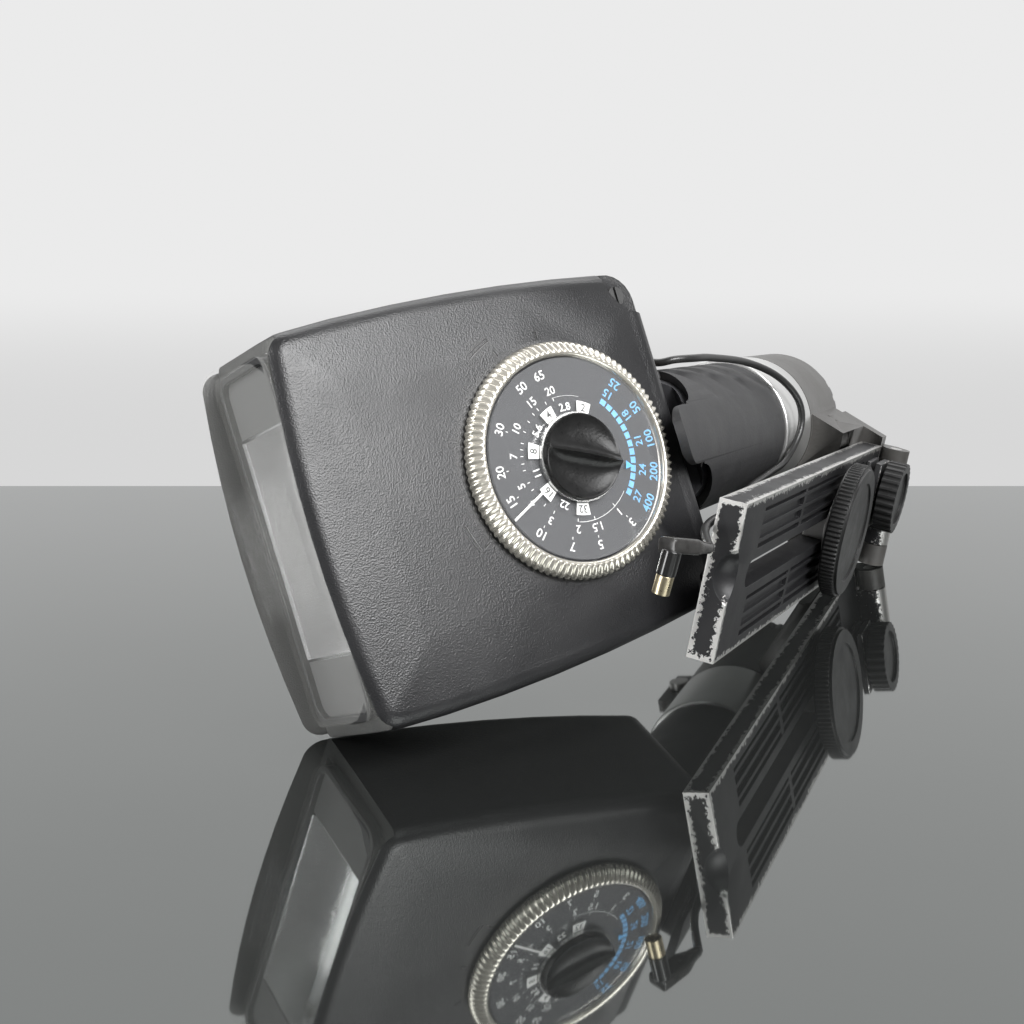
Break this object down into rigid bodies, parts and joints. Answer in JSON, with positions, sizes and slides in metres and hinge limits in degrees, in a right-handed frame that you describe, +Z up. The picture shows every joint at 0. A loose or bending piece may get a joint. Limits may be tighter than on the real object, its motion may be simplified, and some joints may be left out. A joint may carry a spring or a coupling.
{
  "type": "handle mount flash",
  "caption": "Electronic flash with a tilting lamp head and exposure dial on a round battery grip, with a clamp ring and a fold-up camera rail.",
  "frame": {"origin": "centre of the bounding box (cord left out) at table level", "axes": "+Z up from the table; the grip runs along Y with its foot at +Y and the lamp head at -Y; +X towards the camera rail"},
  "size_m": [0.1512, 0.2841, 0.1199],
  "materials": {
    "grained_black": "fine leather-like grain, slightly shiny on the rounded edges",
    "clear_window": "clear moulded cap with fine ribs, slightly yellowed at the ends",
    "frame_black": "matt",
    "bright_reflector": "polished sheet",
    "panel_grey": "matt grey card",
    "tube_glass": "clear glass",
    "board": "varnished board",
    "capacitor_sleeve": "dark sleeve",
    "winding": "taped copper winding",
    "plain_steel": "turned, bright",
    "lamp_orange": "translucent",
    "button_black": "satin",
    "disc_black": "glossy with printed scales",
    "clear_ring": "clear moulded ring, silvery, knurled",
    "cursor_clear": "clear disc",
    "knob_black": "satin black",
    "thin_ring": "bright thin ring",
    "collar_black": "smooth satin",
    "sensor_red": "dark tinted",
    "soft_sleeve": "soft matt grip",
    "grip_metal": "drawn tube",
    "pale_foot": "satin bright",
    "cells": "printed battery cells",
    "contacts": "sprung contact plate",
    "cap_black": "satin black, ribbed edge",
    "clamp_grey": "satin grey-black paint, slightly brown",
    "worn_black": "black paint worn to bare silver along the edges",
    "knurled_black": "black, knurled",
    "cord_black": "smooth black cord",
    "plug_grey": "worn grey-black moulding",
    "plug_black": "gloss black",
    "plug_metal": "dull plated brass"
  },
  "bodies": {
    "handle": {"neck": "collar_black", "sensor_window": "sensor_red", "grip_sleeve": "soft_sleeve", "grip_tube": "grip_metal", "foot_tube": "pale_foot", "batteries": "cells", "upper_contact": "contacts", "cord_gland": "cord_black", "sync_cord": "cord_black", "plug_body": "plug_grey", "plug_barrel": "plug_black", "plug_pin": "plug_metal"},
    "head": {"head_top_shell": "grained_black", "head_bottom_shell": "grained_black", "front_window": "clear_window", "window_frame": "frame_black", "reflector": "bright_reflector", "end_panel_low": "panel_grey", "end_panel_high": "panel_grey", "flash_tube": "tube_glass", "tube_holders": "plain_steel", "circuit_board": "board", "main_capacitor": "capacitor_sleeve", "transformer": "winding", "tilt_pin": "plain_steel", "shell_screws": "plain_steel", "ready_lamp": "lamp_orange", "dial_spindle": "plain_steel"},
    "test_button": {"test_button": "button_black"},
    "power_switch": {"power_switch": "button_black"},
    "film_dial": {"scale_disc": "disc_black", "dial_ring": "clear_ring"},
    "speed_dial": {"cursor_disc": "cursor_clear", "speed_knob": "knob_black", "knob_ring": "thin_ring"},
    "cap": {"foot_cap": "cap_black", "lower_contact": "contacts"},
    "bracket": {"clamp_arm": "clamp_grey", "clamp_screw": "plain_steel", "fold_pin": "plain_steel"},
    "rail": {"rail": "worn_black", "lock_block": "worn_black"},
    "lock": {"lock_screw": "plain_steel", "lock_knob": "knurled_black"},
    "shoe": {"screw_shoe": "plain_steel"},
    "camera_screw": {"camera_screw": "plain_steel", "camera_knob": "knurled_black"}
  },
  "joints": [
    {"name": "head_tilt", "type": "hinge", "parent": "handle", "child": "head", "pos_m": [0.01448, -0.04277, 0.06691], "axis": [-0.3502, 0.08, 0.9332], "range_deg": [-56.3, 33.7]},
    {"name": "test_button_press", "type": "slide", "parent": "head", "child": "test_button", "axis": [-0.5197, -0.8455, -0.1225], "range_m": [0, 0.001], "stiffness_N_per_m": 300, "springref_m": -0.001},
    {"name": "power_switch_slide", "type": "slide", "parent": "head", "child": "power_switch", "axis": [0.3502, -0.08, -0.9332], "range_m": [0, 0.0032]},
    {"name": "film_dial_turn", "type": "hinge", "parent": "head", "child": "film_dial", "pos_m": [0.01465, -0.0762, 0.07241], "axis": [0.7793, -0.5279, 0.3377], "continuous": true},
    {"name": "speed_knob_turn", "type": "hinge", "parent": "head", "child": "speed_dial", "pos_m": [0.01465, -0.0762, 0.07241], "axis": [0.7793, -0.5279, 0.3377], "continuous": true},
    {"name": "cap_off", "type": "slide", "parent": "handle", "child": "cap", "axis": [0, 0.9963, -0.0854], "range_m": [0, 0.02]},
    {"name": "bracket_swivel", "type": "hinge", "parent": "handle", "child": "bracket", "pos_m": [0.0201, 0.12918, 0.05428], "axis": [0, -0.9963, 0.0854], "range_deg": [0, 90]},
    {"name": "rail_fold", "type": "hinge", "parent": "bracket", "child": "rail", "pos_m": [0.06414, 0.12649, 0.02295], "axis": [0.1599, 0.0843, 0.9835], "range_deg": [0, 90]},
    {"name": "lock_knob_turn", "type": "hinge", "parent": "rail", "child": "lock", "pos_m": [0.06012, 0.10802, 0.0323], "axis": [0.9871, -0.0137, -0.1593], "continuous": true},
    {"name": "shoe_slide", "type": "slide", "parent": "rail", "child": "shoe", "axis": [0, -0.9963, 0.0854], "range_m": [-0.0085, 0.09]},
    {"name": "camera_screw_turn", "type": "hinge", "parent": "shoe", "child": "camera_screw", "pos_m": [0.05901, 0.05582, 0.02984], "axis": [0.9871, -0.0137, -0.1593], "continuous": true}
  ]
}
